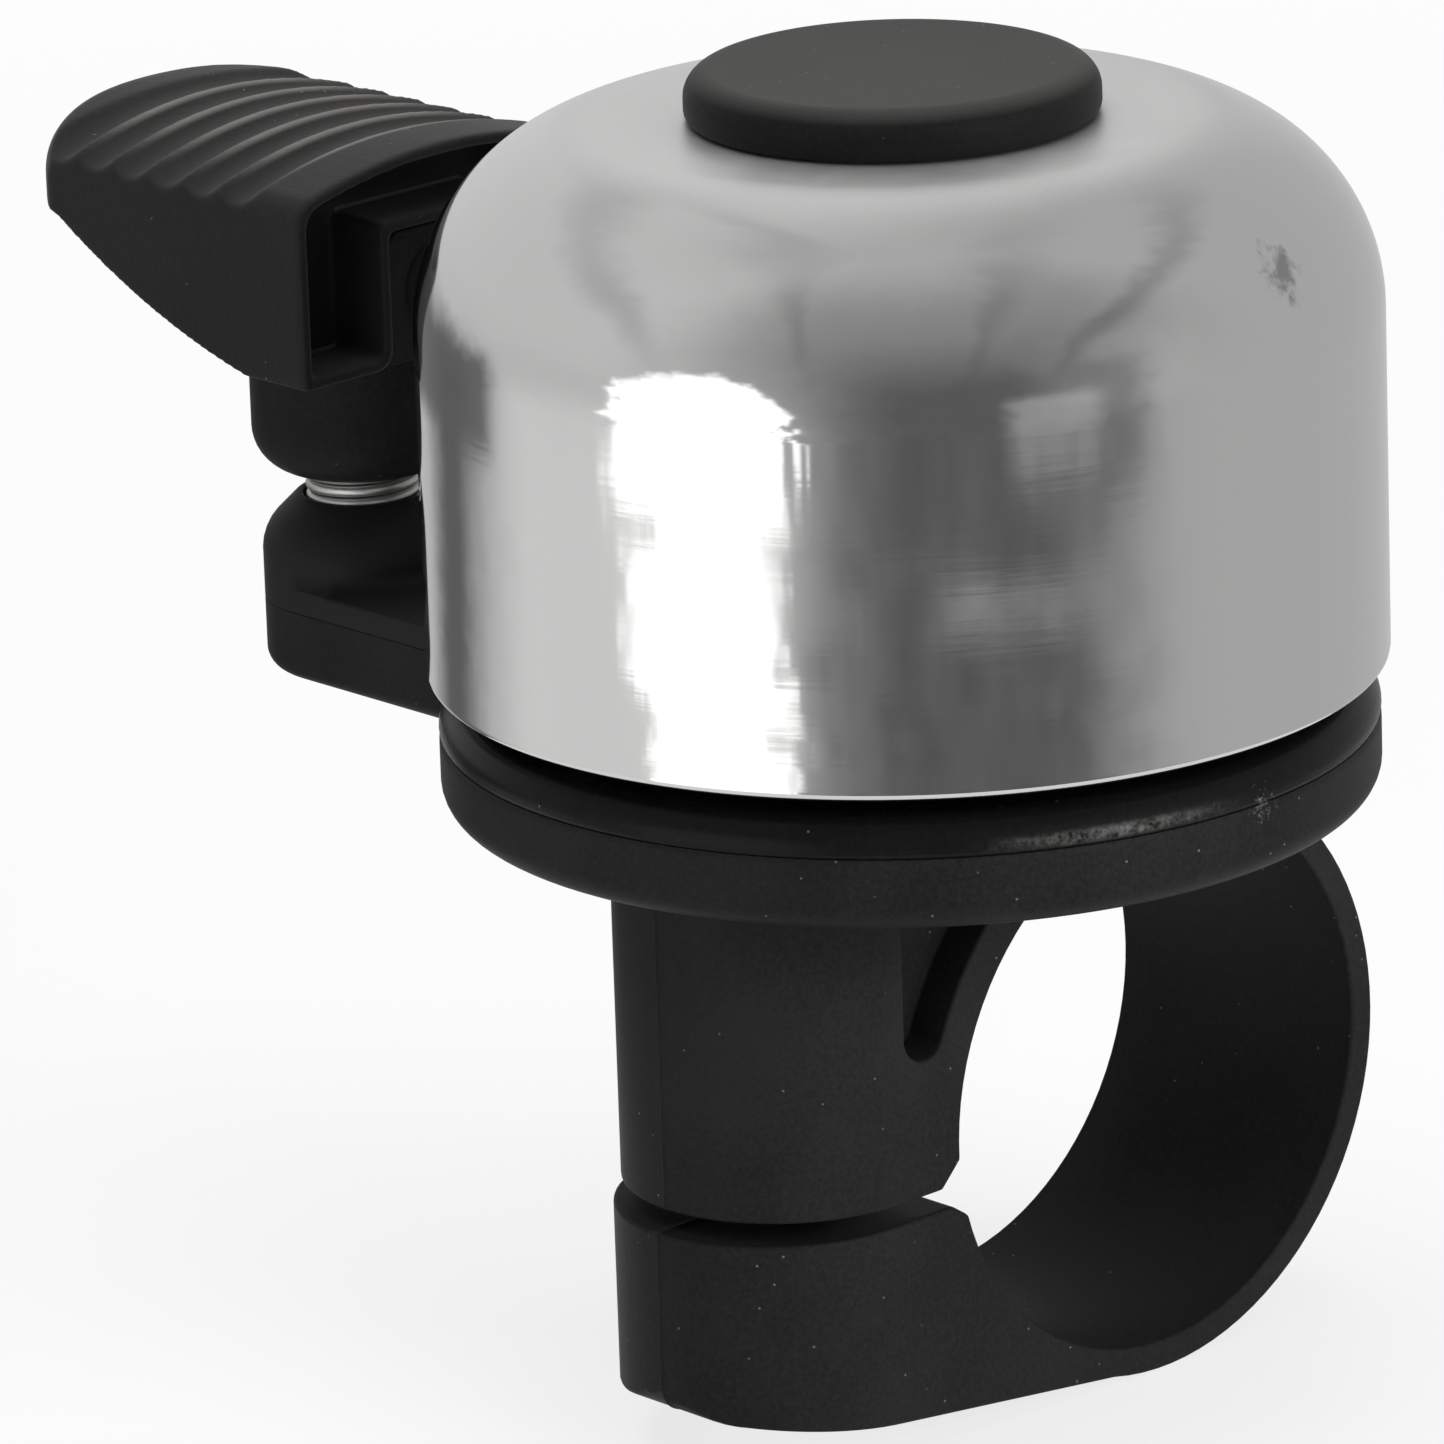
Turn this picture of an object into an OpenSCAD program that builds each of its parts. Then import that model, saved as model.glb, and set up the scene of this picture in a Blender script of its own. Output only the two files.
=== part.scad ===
// Small handlebar bell: a polished dome on a two-part moulded base, a strap clamp,
// and a thumb striker that stands on a coil spring. Millimetres, +Z up.
// The origin is the centre of the clamp bore and the handlebar runs along X.

/* [Handlebar clamp] */
// Diameter of the handlebar that the strap closes round
bar_d = 22.2; // [20:0.1:25.4]
// Width of the strap along the handlebar
strap_w = 13; // [11.5:0.1:14]
// Thickness of the strap
strap_t = 1.2; // [1:0.1:2]
// Plastic left between the top of the bore and the underside of the base
saddle_t = 1.4; // [1.3:0.1:3]
// Plastic left between the bore and the hole of the clamp screw
screw_wall = 1.3; // [0.8:0.05:2]
// Reach of the screw boss below the handlebar axis
boss_drop = 1.5; // [0:0.1:3]
// Slit between the screw boss and the block below it
slit = 0.8; // [0.4:0.1:1.5]
// Flare of the slit where it opens into the bore
slit_flare = 1; // [0.2:0.1:1.2]
// Height of the block, measured at the clamp screw
block_h = 8.3; // [7:0.1:9]
// Reach of the block beyond the boss
block_lip = 0.45; // [0:0.05:0.8]
// Slope of the underside of the block, in degrees
block_slope = 7; // [4:0.2:12]
// Radius of the block's lower outer edge
block_round = 1.1; // [0.8:0.1:1.8]
// Depth of the cored pocket in each flank of the boss
pocket_depth = 1.9; // [0.5:0.1:2.5]
// Radius at the foot of the cored pocket
pocket_r = 1.05; // [0.6:0.05:1.2]
// Plastic left between the pocket and the bore
pocket_web = 1.75; // [1.2:0.05:2.2]
// Plastic left between the pocket and the middle of the screw boss
pocket_wall = 0.55; // [0:0.05:1]
// Radius of the hollow blend from the strap into the base
saddle_round = 1.2; // [0.6:0.1:2]

/* [Base] */
// Diameter of the round base at its seam
base_d = 37.2; // [34:0.1:37.6]
// Height of the base below the seam
lower_h = 3.05; // [2.4:0.05:4]
// Height of the base above the seam
upper_h = 1.55; // [1.3:0.05:3]
// Radius of the base's lower edge
lower_round = 1.25; // [0.4:0.05:1.6]
// Radius of the base's upper shoulder
upper_round = 1.25; // [0.4:0.05:1.25]
// Distance of the bell axis in front of the handlebar axis
bell_front = 7; // [5:0.1:9]
// Diameter of the hollow post that carries the dome
post_d = 8.4; // [7:0.1:12]
// Thickness of the ribs round the foot of that post
rib_t = 1.2; // [0.8:0.1:2]
// Reach of those ribs from the bell axis
rib_reach = 13; // [8:0.5:15]
// Height of those ribs
rib_h = 2.4; // [1:0.1:6]
// Diameter of the pegs that line up the two halves of the base
peg_d = 2; // [1.5:0.1:3]
// Length of those pegs
peg_h = 1.4; // [0.8:0.1:1.8]
// Distance of the pegs from the bell axis
peg_reach = 14; // [9:0.5:15]

/* [Striker arm] */
// Distance from the bell axis to the axis of the striker spring
arm_reach = 29.3; // [28:0.1:33]
// Distance of the spring axis to the front of the bell axis
arm_front = 2.6; // [0:0.1:4]
// Radius of the arm's lower edge
arm_round = 0.9; // [0.3:0.05:1.4]
// Width of the arm
arm_w = 8.5; // [7.6:0.1:10]
// Height of the arm above the seam
arm_upper_h = 1; // [0.9:0.05:1.5]
// Height of the spring post above the seam
spring_post_h = 4.35; // [3:0.05:5]
// Width of the sloped edge round the top of the spring post
post_edge_w = 1.5; // [0.3:0.05:1.6]
// Height of that sloped edge
post_edge_h = 1.5; // [0.3:0.05:2]

/* [Dome] */
// Outer diameter of the dome
dome_d = 38; // [36:0.1:42]
// Thickness of the dome
dome_t = 1.5; // [1:0.1:2]
// Height of the dome from its rim to the seat of the cap
dome_h = 22.1; // [20:0.1:26]
// Radius of the dome's shoulder
shoulder_r = 8; // [5:0.1:10]
// Gap between the rim of the dome and the base
rim_gap = 0.8; // [0.5:0.1:2]
// Depth of the seat sunk into the top of the dome
seat_depth = 1.6; // [1.2:0.1:2.4]
// Diameter of that seat
seat_d = 11.6; // [11:0.1:13]
// Thickness of the soft washer below the dome
soft_washer_t = 0.8; // [0.5:0.1:1.5]
// Thickness of the steel washer above the dome
washer_t = 0.6; // [0.4:0.1:0.8]
// Diameter of both washers
washer_d = 9; // [8.2:0.1:9.2]

/* [Cap] */
// Diameter of the cap
cap_d = 16.3; // [14:0.1:18]
// Height of the cap above the dome
cap_h = 2; // [2:0.1:3]
// Radius of the cap's upper edge
cap_round = 1.1; // [0.5:0.1:1.4]
// Thickness of the cap's roof
cap_roof = 0.6; // [0.5:0.05:0.7]
// Depth of the dish in the cap's roof
cap_dish = 0.15; // [0:0.05:0.3]
// Thickness of the collar that grips the sunk seat
collar_t = 0.8; // [0.5:0.05:0.9]

/* [Fasteners] */
// Thread diameter of both screws
screw_d = 4; // [3:0.1:4]
// Diameter of the screw heads
head_d = 7.2; // [6:0.1:7.4]
// Height of the screw heads
head_h = 2.1; // [1.5:0.1:2.1]
// Radius of the upper edge of the screw heads
head_round = 0.9; // [0.5:0.05:1.2]
// Width of the cross recess in the screw heads
cross_w = 1.15; // [0.8:0.05:1.4]
// Length of the cross recess
cross_l = 4.3; // [3:0.1:4.6]
// Depth of the cross recess
cross_h = 1.1; // [0.8:0.05:1.2]
// Bite of the dome screw below the seam of the base
dome_screw_bite = 4.5; // [3:0.1:5]
// Distance of the clamp screw's end below the top of the nut
screw_short = 0.4; // [0:0.1:1]
// Depth of the hole that takes the head of the clamp screw
head_sink = 2.9; // [2.2:0.1:4]
// Width of the clamp nut across its flats
nut_w = 7; // [6:0.1:7.2]
// Height of the clamp nut
nut_h = 3.2; // [2:0.1:3.4]

/* [Striker spring] */
// Thickness of the spring wire
wire_d = 0.5; // [0.4:0.05:0.6]
// Outer diameter of the spring
spring_d = 4.8; // [4:0.1:5]
// Number of turns
spring_turns = 12; // [10:1:13]
// Clear gap from turn to turn
turn_gap = 0.42; // [0.41:0.01:0.5]
// Length of the straight tail at the foot of the spring
tail_l = 3; // [1:0.1:4]

/* [Striker] */
// Gap between the spring post and the barrel above it
tip_gap = 1.05; // [0.9:0.05:2.5]
// Diameter of the striker's barrel
barrel_d = 9; // [8.5:0.1:11]
// Radius of the barrel's lower edge
barrel_round = 1.9; // [1:0.1:1.9]
// Height of the barrel
barrel_h = 5.7; // [5:0.1:8]
// Width of the tongue that carries the thumb cover
tongue_w = 5.7; // [5.4:0.1:7]
// Height of the tongue above the barrel
tongue_h = 5.5; // [4.6:0.1:5.8]
// Bevel along the edges of the tongue's top
tongue_bevel = 0.5; // [0.2:0.05:0.8]
// Reach of the tongue from the spring axis towards the dome
tongue_in = 5.3; // [4:0.1:5.6]
// Reach of the tongue from the spring axis away from the dome
tongue_out = 5; // [4:0.1:6]
// Height of the hammer above the barrel's top
hammer_up = 2.9; // [2.2:0.1:3.2]
// Diameter of the hammer's head
hammer_d = 3.8; // [3.2:0.1:4.2]
// Diameter of the hammer's shank
shank_d = 2.4; // [1.8:0.1:2.8]
// Length of the hammer's shank
shank_l = 4; // [3:0.1:5]
// Radius of the hammer's nose
nose_round = 1.5; // [0.8:0.1:1.5]
// Gap between the resting hammer and the dome
strike_gap = 1.2; // [1:0.1:2]

/* [Thumb cover] */
// Reach of the cover from the spring axis towards the dome
cover_in = 5.8; // [5.6:0.1:6.4]
// Reach of the cover from the spring axis to its tip
cover_out = 14.2; // [12.5:0.1:15]
// Width of the cover
cover_w = 15.7; // [13:0.1:17]
// Height of the cover at the middle of its crown
cover_h = 8.85; // [8.4:0.05:10]
// Radius of the crown across the cover
crown_r = 26; // [24:0.5:40]
// Radius of the tip seen from above
tip_r = 9.2; // [8.8:0.1:12]
// Radius of the rounded upper edge round the tip
tip_edge_r = 2.6; // [1.5:0.1:3]
// Thickness of the cover at its tip, below the crown
tip_t = 4; // [3.2:0.1:5]
// Radius of the long upper edges
edge_r = 1.5; // [0.5:0.1:2]
// Radius of the sweep along the underside
sweep_r = 37; // [30:0.5:50]
// Angle at which that sweep leaves the barrel, in degrees
sweep_angle = 13; // [8:0.5:16]
// Distance from the spring axis at which that sweep starts, towards the dome
sweep_start = 2; // [0:0.1:4]
// Number of scallops across the crown
scallops = 6; // [3:1:6]
// Distance from scallop to scallop
scallop_pitch = 2.2; // [1.6:0.05:2.3]
// Width of the crest left between two scallops
scallop_crest = 0.2; // [0.1:0.05:0.4]
// Depth of a scallop
scallop_depth = 0.35; // [0.2:0.05:0.5]
// Radius of the rings that cut the scallops
scallop_ring_r = 22; // [18:0.5:23]
// Width of the plain band next to the dome
plain_band = 3.1; // [1:0.1:4]
// Radius of the lower corners beside the tongue
slot_round = 0.9; // [0.3:0.1:1.2]

/* [Fits] */
// Clearance round screws, shanks and pegs
fit = 0.05; // [0.02:0.01:0.15]
// Clearance round the spring, the nut and the screw head
loose = 0.1; // [0.05:0.01:0.2]
// Clearance between the tongue and the thumb cover
cover_fit = 0.15; // [0.05:0.05:0.3]
// Small bevel along the seam of the base
seam_bevel = 0.12; // [0.05:0.01:0.25]

/* [Hidden] */
$fn = 96;
eps = 0.01;
over = 40;

// Clamp and base, worked out from the bore upwards
bar_r = bar_d / 2;
strap_r = bar_r + strap_t;
base_z = bar_r + saddle_t;
seam_z = base_z + lower_h;
plate_z = seam_z + upper_h;
bell_y = -bell_front;
screw_hole_r = screw_d / 2 + loose;
screw_y = -(bar_r + screw_wall + screw_hole_r);
boss_r = strap_w / 2;
block_top = -boss_drop - slit;
block_z = block_top - block_h;
nut_z = seam_z - nut_h - loose;
clamp_head_z = block_z + head_sink;
clamp_screw_l = nut_z + nut_h - screw_short - clamp_head_z;

// Dome and what holds it
rim_z = plate_z + rim_gap;
dome_z = rim_z + dome_h;
dome_r = dome_d / 2;
seat_z = dome_z - seat_depth;
post_z = seat_z - dome_t - soft_washer_t;
dome_head_z = seat_z + washer_t;
dome_screw_l = dome_head_z - seam_z + dome_screw_bite;

// Striker
spring_x = -arm_reach;
spring_y = bell_y - arm_front;
spring_r = spring_d / 2;
spring_hole_r = spring_r + loose;
post_top = seam_z + spring_post_h;
barrel_z = post_top + tip_gap;
barrel_r = barrel_d / 2;
barrel_top = barrel_z + barrel_h;
hammer_z = barrel_top + hammer_up;
strike_x = -sqrt(pow(dome_r, 2) - pow(arm_front, 2));
nose_x = strike_x - strike_gap;
tongue_face = spring_x + tongue_in;
hammer_l = nose_x - tongue_face;

// Spring path: a straight tail, the turns, and a straight end one wire thick
pitch = wire_d + turn_gap;
coil_r = spring_r - wire_d / 2;
coil_z = seam_z + wire_d / 2 + fit;
rings_per_turn = 8;
wire_sides = 6;
coil_steps = spring_turns * rings_per_turn;
tail_angle = 90;
function coil_point(i) =
    let (a = tail_angle + 360 * i / rings_per_turn)
    [coil_r * cos(a), coil_r * sin(a), pitch * i / rings_per_turn];
function coil_way(a) = [-sin(a), cos(a), 0];
end_angle = tail_angle + 360 * coil_steps / rings_per_turn;
spring_path = concat(
    [coil_point(0) - tail_l * coil_way(tail_angle)],
    [for (i = [0 : coil_steps]) coil_point(i)],
    [coil_point(coil_steps) + wire_d * coil_way(end_angle)]);
spring_top = coil_z + pitch * spring_turns + wire_d / 2;

// Least clear distance between points of the wire that are half a turn or more apart
path_n = len(spring_path);
wire_gap = min([for (i = [0 : path_n - 1], j = [i + rings_per_turn / 2 : 1 : path_n - 1])
    norm(spring_path[i] - spring_path[j])]) - wire_d;
echo(str("least gap of the spring to itself: ", wire_gap, " mm"));

// Profile of a turned disc with rounded lower and upper edges
module turned_profile(r, h, low, high) {
    translate([0, low])
        square([r, h - low - high]);
    if (low > 0) {
        square([r - low, h - high]);
        translate([r - low, low])
            intersection() {
                circle(low);
                translate([0, -low])
                    square(low);
            }
    }
    if (high > 0) {
        translate([0, low])
            square([r - high, h - low]);
        translate([r - high, h - high])
            intersection() {
                circle(high);
                square(high);
            }
    }
}

// A profile drawn in Y and Z, extruded along X about the middle plane
module along_x(w) {
    rotate([90, 0, 90])
        translate([0, 0, -w / 2])
            linear_extrude(w)
                children();
}

// A profile drawn in X and Z, extruded along Y about the middle plane
module along_y(w) {
    rotate([90, 0, 0])
        translate([0, 0, -w / 2])
            linear_extrude(w)
                children();
}

module at_bell(z) {
    translate([0, bell_y, z])
        children();
}

module at_spring(z) {
    translate([spring_x, spring_y, z])
        children();
}

module at_clamp_screw(z) {
    translate([0, screw_y, z])
        children();
}

// The two pegs sit on the side of the base away from the arm
module at_pegs(z) {
    for (side = [-1, 1])
        at_bell(z)
            rotate([0, 0, side * 45])
                translate([peg_reach, 0, 0])
                    children();
}

// One half of the arm: a bar with a round end, its outer edge rounded or square
module arm_bar(z, h, low) {
    at_spring(z)
        rotate_extrude()
            turned_profile(arm_w / 2, h, low, 0);
    translate([spring_x / 2, spring_y, z])
        along_x(arm_reach)
            for (side = [0, 1])
                mirror([side, 0])
                    turned_profile(arm_w / 2, h, low, 0);
}

// Pan head with a cross recess, its bearing face at the origin and its crown upwards
module pan_head() {
    difference() {
        rotate_extrude()
            turned_profile(head_d / 2, head_h, 0, head_round);
        for (turn = [0, 90])
            rotate([0, 0, turn])
                translate([-cross_l / 2, -cross_w / 2, head_h - cross_h])
                    cube([cross_l, cross_w, head_h]);
    }
}

// Side view of the boss, the saddle and the strap, before the bore.
// A hollow curve blends the strap into the underside of the base.
module strap_outline() {
    blend_z = base_z - saddle_round;
    blend_y = sqrt(pow(strap_r + saddle_round, 2) - pow(blend_z, 2));
    meet = [blend_y, blend_z] * strap_r / (strap_r + saddle_round);
    circle(strap_r);
    translate([screw_y - boss_r, -boss_drop])
        square([boss_r - screw_y, base_z + boss_drop + eps]);
    difference() {
        polygon([[0, 0], meet, [blend_y, base_z], [blend_y, base_z + eps], [0, base_z + eps]]);
        translate([blend_y, blend_z])
            circle(saddle_round);
    }
}

// Side view of the block: its underside runs down to the lowest part of the strap
// and its outer lower corner is round
module block_outline() {
    front = screw_y - boss_r - block_lip;
    corner_z = block_z + (screw_y - front) * tan(block_slope);
    round_y = front + block_round;
    round_z = corner_z - block_round * tan(block_slope) + block_round / cos(block_slope);
    foot = [round_y, round_z] - block_round * [sin(block_slope), cos(block_slope)];
    polygon([[front, block_top], [0, block_top], [0, -strap_r], [screw_y, block_z],
             foot, [front, round_z]]);
    translate([round_y, round_z])
        circle(block_round + eps);
}

// The slit between boss and block, flared where it opens into the bore
module slit_outline() {
    inside = slit_flare - bar_r;
    polygon([[2 * screw_y, block_top], [-bar_r - slit_flare / 2, block_top],
             [inside, block_top - slit_flare], [inside, 2 * slit_flare - boss_drop],
             [-bar_r - slit_flare, -boss_drop], [2 * screw_y, -boss_drop]]);
}

// Everything between the flanks of the strap, with a round end about a screw axis
module round_ended(y) {
    translate([0, y, -over])
        cylinder(r = boss_r, h = 2 * over);
    translate([-boss_r, y, -over])
        cube([strap_w, over, 2 * over]);
}

// Cored pocket between the screw boss and the bore, with a round foot
// that runs into its straight wall and into its hollow one
module pocket_outline() {
    web_r = bar_r + pocket_web;
    foot_y = screw_y + pocket_wall + pocket_r;
    foot_z = sqrt(pow(web_r + pocket_r, 2) - pow(foot_y, 2));
    wall_y = foot_y - pocket_r;
    difference() {
        union() {
            translate([foot_y, foot_z])
                circle(pocket_r + eps);
            polygon([[wall_y, base_z], [wall_y, foot_z], [foot_y, foot_z], [0, 0], [0, base_z]]);
        }
        circle(web_r);
    }
}

module clamp_body() {
    color([0.13, 0.13, 0.14])
        difference() {
            union() {
                at_bell(base_z)
                    rotate_extrude()
                        difference() {
                            turned_profile(base_d / 2, lower_h, lower_round, 0);
                            translate([base_d / 2, lower_h])
                                circle(seam_bevel, $fn = 4);
                        }
                arm_bar(base_z, lower_h, arm_round);
                intersection() {
                    along_x(strap_w)
                        strap_outline();
                    round_ended(screw_y);
                }
                intersection() {
                    along_x(strap_w)
                        block_outline();
                    round_ended(screw_y - block_lip);
                }
            }
            along_x(2 * strap_w)
                circle(bar_r);
            for (side = [-1, 1])
                translate([side * strap_w / 2, 0, 0])
                    along_x(2 * pocket_depth)
                        pocket_outline();
            along_x(2 * strap_w)
                slit_outline();
            at_clamp_screw(-over)
                cylinder(r = screw_hole_r, h = over + seam_z + eps);
            at_clamp_screw(clamp_head_z - over)
                cylinder(r = head_d / 2 + loose, h = over);
            at_clamp_screw(nut_z)
                cylinder(r = (nut_w / 2 + loose) / cos(30), h = nut_h + over, $fn = 6);
            at_bell(dome_head_z - dome_screw_l - loose)
                cylinder(r = screw_d / 2 + fit, h = over);
            at_pegs(seam_z - peg_h - loose)
                cylinder(d = peg_d + 2 * fit, h = peg_h + over);
        }
}

module base_plate() {
    color([0.13, 0.13, 0.14])
        difference() {
            union() {
                at_bell(seam_z)
                    rotate_extrude()
                        difference() {
                            turned_profile(base_d / 2, upper_h, 0, upper_round);
                            translate([base_d / 2, 0])
                                circle(seam_bevel, $fn = 4);
                        }
                at_bell(seam_z)
                    cylinder(d = post_d, h = post_z - seam_z);
                for (turn = [0, 90])
                    at_bell(plate_z + rib_h / 2 - eps)
                        rotate([0, 0, 45 + turn])
                            cube([2 * rib_reach, rib_t, rib_h], center = true);
                arm_bar(seam_z, arm_upper_h, 0);
                at_spring(seam_z)
                    cylinder(d = arm_w, h = spring_post_h - post_edge_h);
                at_spring(post_top - post_edge_h)
                    cylinder(r1 = arm_w / 2, r2 = arm_w / 2 - post_edge_w, h = post_edge_h);
                at_pegs(seam_z - peg_h)
                    cylinder(d = peg_d, h = peg_h + eps);
            }
            at_bell(seam_z - eps)
                cylinder(r = screw_d / 2 + fit, h = over);
            at_spring(seam_z - eps)
                cylinder(r = spring_hole_r, h = over);
            at_spring(seam_z - eps)
                translate([0, coil_r - wire_d / 2 - loose, 0])
                    cube([tail_l + loose, wire_d + 2 * loose, wire_d + 2 * loose]);
        }
}

module dome_seat_washer() {
    color([0.85, 0.84, 0.8])
        at_bell(post_z)
            difference() {
                cylinder(d = washer_d, h = soft_washer_t);
                translate([0, 0, -eps])
                    cylinder(r = screw_d / 2 + fit, h = soft_washer_t + 2 * eps);
            }
}

module bell_dome() {
    color([0.78, 0.78, 0.8])
        at_bell(rim_z)
            rotate_extrude()
                difference() {
                    union() {
                        difference() {
                            turned_profile(dome_r, dome_h, 0, shoulder_r);
                            turned_profile(dome_r - dome_t, dome_h - dome_t, 0, shoulder_r - dome_t);
                        }
                        translate([0, dome_h - seat_depth - dome_t])
                            square([seat_d / 2 + dome_t, seat_depth + dome_t]);
                    }
                    translate([0, dome_h - seat_depth])
                        square([seat_d / 2, seat_depth + eps]);
                    square([screw_d / 2 + fit, dome_h]);
                }
}

module dome_washer() {
    color([0.7, 0.7, 0.72])
        at_bell(seat_z)
            difference() {
                cylinder(d = washer_d, h = washer_t);
                translate([0, 0, -eps])
                    cylinder(r = screw_d / 2 + fit, h = washer_t + 2 * eps);
            }
}

module dome_screw() {
    color([0.72, 0.72, 0.74])
        at_bell(dome_head_z) {
            pan_head();
            translate([0, 0, -dome_screw_l + screw_d / 2])
                cylinder(d = screw_d, h = dome_screw_l - screw_d / 2 + eps);
            translate([0, 0, -dome_screw_l])
                cylinder(d1 = screw_d / 3, d2 = screw_d, h = screw_d / 2 + eps);
        }
}

module top_cap() {
    color([0.17, 0.16, 0.16])
        at_bell(dome_z)
            rotate_extrude()
                difference() {
                    union() {
                        turned_profile(cap_d / 2, cap_h, 0, cap_round);
                        translate([0, -seat_depth + washer_t])
                            square([seat_d / 2 - fit, seat_depth - washer_t + eps]);
                    }
                    translate([0, -seat_depth])
                        square([seat_d / 2 - fit - collar_t, seat_depth + cap_h - cap_roof]);
                    cap_dish_outline();
                }
}

// Shallow dish in the roof of the cap
module cap_dish_outline() {
    half = cap_d / 2 - cap_round;
    if (cap_dish > 0) {
        dish_r = (pow(half, 2) + pow(cap_dish, 2)) / (2 * cap_dish);
        intersection() {
            translate([0, cap_h + dish_r - cap_dish])
                circle(dish_r, $fn = 720);
            translate([0, cap_h - 2 * cap_dish])
                square([half, 4 * cap_dish]);
        }
    }
}

module clamp_screw() {
    color([0.72, 0.72, 0.74])
        at_clamp_screw(clamp_head_z)
            mirror([0, 0, 1]) {
                pan_head();
                translate([0, 0, -clamp_screw_l])
                    cylinder(d = screw_d, h = clamp_screw_l + eps);
            }
}

module clamp_nut() {
    color([0.72, 0.72, 0.74])
        at_clamp_screw(nut_z)
            difference() {
                cylinder(r = nut_w / 2 / cos(30), h = nut_h, $fn = 6);
                translate([0, 0, -eps])
                    cylinder(r = screw_d / 2 + fit, h = nut_h + 2 * eps);
            }
}

// Tongue above the barrel: it faces the dome and carries the thumb cover
module tongue() {
    half = tongue_w / 2;
    profile = [[-half, 0], [half, 0], [half, tongue_h - tongue_bevel], [half - tongue_bevel, tongue_h],
               [tongue_bevel - half, tongue_h], [-half, tongue_h - tongue_bevel]];
    translate([spring_x + (tongue_in - tongue_out) / 2, spring_y, barrel_top - eps])
        along_x(tongue_in + tongue_out)
            polygon(profile);
}

module striker_core() {
    bore_top = spring_top + loose;
    color([0.14, 0.14, 0.16])
        difference() {
            union() {
                at_spring(barrel_z)
                    rotate_extrude()
                        turned_profile(barrel_r, barrel_h, barrel_round, 0);
                tongue();
            }
            at_spring(barrel_z - eps)
                cylinder(r = spring_hole_r, h = bore_top - barrel_z + eps);
            translate([tongue_face - shank_l - loose, spring_y, hammer_z])
                rotate([0, 90, 0])
                    cylinder(r = shank_d / 2 + fit, h = shank_l + over);
        }
}

module hammer() {
    color([0.6, 0.6, 0.62])
        translate([tongue_face, spring_y, hammer_z])
            rotate([0, 90, 0]) {
                rotate_extrude()
                    turned_profile(hammer_d / 2, hammer_l, 0, min(nose_round, hammer_l));
                translate([0, 0, -shank_l])
                    cylinder(d = shank_d, h = shank_l + eps);
            }
}

// Cross-section of the cover: flat flanks with rounded upper edges, open above the crown
module cover_section() {
    half = cover_w / 2;
    edge_top = cover_h - (crown_r - sqrt(pow(crown_r, 2) - pow(half - edge_r, 2)));
    translate([-half, 0])
        square([cover_w, edge_top - edge_r]);
    translate([edge_r - half, 0])
        square([cover_w - 2 * edge_r, 2 * cover_h]);
    for (side = [-1, 1])
        translate([side * (half - edge_r), edge_top - edge_r])
            circle(edge_r);
}

// Side view of the cover: a level floor that sweeps up to the tip
module cover_side() {
    sweep_x = sweep_start + sweep_r * sin(sweep_angle);
    sweep_z = sweep_r * cos(sweep_angle);
    intersection() {
        translate([-cover_out, 0])
            square([cover_out + cover_in, cover_h]);
        union() {
            translate([sweep_x, sweep_z])
                circle(sweep_r, $fn = 360);
            translate([-cover_out, cover_h - tip_t])
                square([cover_out, tip_t]);
        }
    }
}

// Plan of the cover: a round tip with a rounded upper edge, open towards the dome
module cover_plan() {
    translate([tip_r - cover_out, 0, -over])
        rotate_extrude()
            turned_profile(tip_r, over + cover_h, 0, tip_edge_r);
    translate([tip_r - cover_out, -over, -over])
        cube([over, 2 * over, 2 * over]);
}

// Scallops: rings about an axis below the crown, a little tighter than the crown,
// so that they run out on the rounded edges
module cover_scallops() {
    half = (scallop_pitch - scallop_crest) / 2;
    scallop_r = (pow(half, 2) + pow(scallop_depth, 2)) / (2 * scallop_depth);
    for (i = [0 : scallops - 1])
        translate([cover_in - plain_band - scallop_pitch * (i + 0.5), 0, cover_h - scallop_ring_r])
            rotate([0, 90, 0])
                rotate_extrude()
                    translate([scallop_ring_r + scallop_r - scallop_depth, 0])
                        circle(scallop_r);
}

// Slot for the tongue, open below and towards the dome, with rounded lower corners
module cover_slot() {
    half = tongue_w / 2 + cover_fit;
    translate([(cover_in - tongue_out - cover_fit + over) / 2, 0, 0])
        along_x(tongue_out + cover_fit + over + cover_in) {
            translate([-half, -eps])
                square([2 * half, tongue_h + cover_fit + eps]);
            for (side = [-1, 1])
                difference() {
                    translate([side * half - slot_round, -eps])
                        square([2 * slot_round, slot_round]);
                    translate([side * (half + slot_round), slot_round - eps])
                        circle(slot_round);
                }
        }
}

module thumb_cover() {
    color([0.16, 0.16, 0.16])
        translate([spring_x, spring_y, barrel_top])
            difference() {
                intersection() {
                    along_x(2 * over)
                        cover_section();
                    along_y(2 * cover_w)
                        cover_side();
                    translate([0, 0, cover_h - crown_r])
                        rotate([0, 90, 0])
                            cylinder(r = crown_r, h = 2 * over, center = true, $fn = 360);
                    cover_plan();
                }
                cover_scallops();
                cover_slot();
            }
}

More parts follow.
